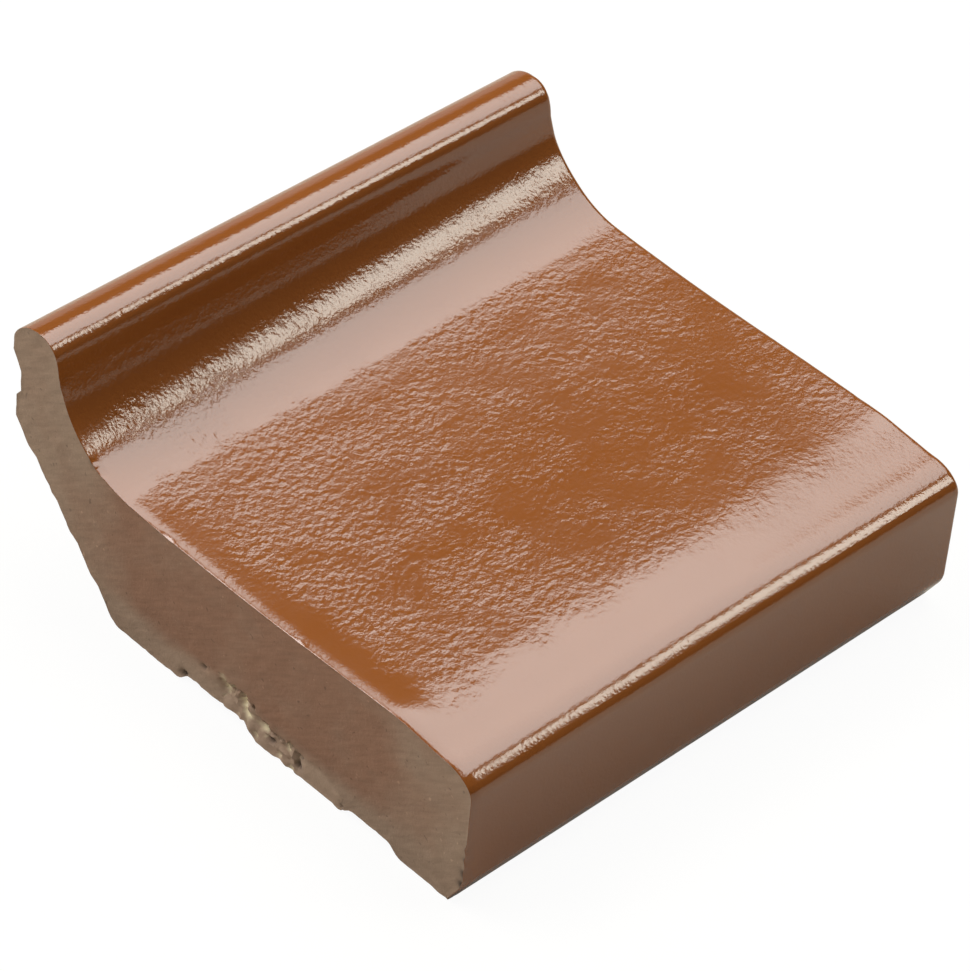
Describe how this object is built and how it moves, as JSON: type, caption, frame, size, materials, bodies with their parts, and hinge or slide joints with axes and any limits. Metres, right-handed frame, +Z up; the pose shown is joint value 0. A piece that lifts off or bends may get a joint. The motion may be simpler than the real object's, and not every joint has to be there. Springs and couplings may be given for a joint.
{
  "type": "window sill tile",
  "caption": "Glazed clay window sill tile: a slab with a rounded nose, a dished top, a cove that turns up into a lip against the frame, a ridged back and a grooved underside.",
  "frame": {"origin": "on the floor under the middle of the tile's box, in the plane of the soles between the mortar grooves", "axes": "+X along the wall, from the left end to the right end seen from outside; +Y from the nose towards the window; +Z up"},
  "size_m": [0.105, 0.105, 0.0474],
  "materials": {
    "glazed_clay": "glossy brown glaze on the top, front and lip; bare fired clay on the ends, back and underside"
  },
  "bodies": {
    "root": {"sill_tile": "glazed_clay"}
  },
  "joints": []
}
